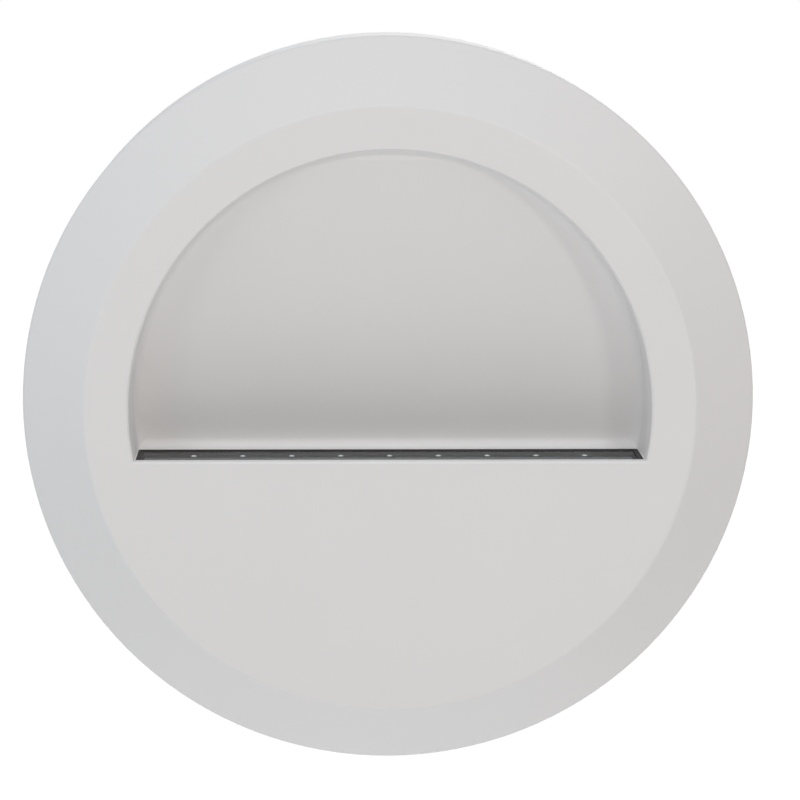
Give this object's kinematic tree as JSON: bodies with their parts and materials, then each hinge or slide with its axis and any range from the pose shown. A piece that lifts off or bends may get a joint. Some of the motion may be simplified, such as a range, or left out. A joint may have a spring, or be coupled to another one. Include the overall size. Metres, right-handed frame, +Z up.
{
  "type": "step light",
  "caption": "Round surface-mounted wall step light: a bevelled cast housing with a sloping D-shaped recess, lit by a slot window in the recess's ledge.",
  "frame": {"origin": "centre of the wall gasket's back face, where the light meets the wall", "axes": "+Z up the wall with the recess above its ledge, +X to the right seen from the front, +Y into the wall; the front face looks along -Y"},
  "size_m": [0.15, 0.03, 0.15],
  "materials": {
    "white_powder_coat": "satin white powder coat on die-cast aluminium",
    "grey_powder_coat": "satin grey powder coat on die-cast aluminium",
    "clear_window": "clear polycarbonate strip",
    "black_rubber": "black silicone rubber",
    "board_mask": "dark solder mask on an aluminium board",
    "led_ceramic": "white moulded LED package",
    "phosphor": "yellow phosphor in silicone",
    "chip_black": "black moulded component",
    "pad_grey": "soft thermal pad",
    "bare_aluminium": "bare extruded aluminium",
    "zinc_steel": "zinc-plated steel",
    "black_nylon": "black moulded nylon",
    "driver_board_green": "green solder mask",
    "capacitor_sleeve": "dark blue sleeve",
    "ferrite": "grey-black ferrite",
    "copper_winding": "enamelled copper wire",
    "lead_blue": "insulated flexible lead",
    "lead_red": "insulated flexible lead",
    "foam_black": "closed-cell foam",
    "silicone_grey": "grey silicone rubber",
    "nylon_natural": "natural white nylon",
    "brass_clamp": "bright brass",
    "stainless": "stainless steel"
  },
  "bodies": {
    "base": {"wall_plate": "grey_powder_coat", "wall_gasket": "foam_black", "base_seal": "silicone_grey", "cable_grommet": "black_rubber", "terminal_block": "nylon_natural", "terminal_clamps": "brass_clamp", "terminal_screws": "zinc_steel", "block_screws": "zinc_steel", "earth_screw": "brass_clamp", "earth_washer": "zinc_steel"},
    "lamp": {"front_housing": "white_powder_coat", "light_window": "clear_window", "window_seal": "black_rubber", "led_board": "board_mask", "leds": "led_ceramic", "led_phosphors": "phosphor", "chip_resistors": "chip_black", "thermal_pad": "pad_grey", "led_carrier": "bare_aluminium", "carrier_screws": "zinc_steel", "driver_case": "black_nylon", "driver_lid": "black_nylon", "driver_board": "driver_board_green", "smoothing_capacitor": "capacitor_sleeve", "transformer_core": "ferrite", "transformer_coil": "copper_winding", "driver_chips": "chip_black", "driver_screws": "zinc_steel", "supply_leads": "lead_blue", "led_leads": "lead_red", "lead_bushes": "black_rubber"},
    "set_screw_left": {"set_screw_left": "stainless"},
    "set_screw_right": {"set_screw_right": "stainless"}
  },
  "joints": [
    {"name": "lamp_pull_off", "type": "slide", "parent": "base", "child": "lamp", "axis": [0, -1, 0], "range_m": [0, 0.035]},
    {"name": "set_screw_left_travel", "type": "slide", "parent": "lamp", "child": "set_screw_left", "axis": [-1, 0, 0], "range_m": [0, 0.0025]},
    {"name": "set_screw_right_travel", "type": "slide", "parent": "lamp", "child": "set_screw_right", "axis": [1, 0, 0], "range_m": [0, 0.0025]}
  ]
}
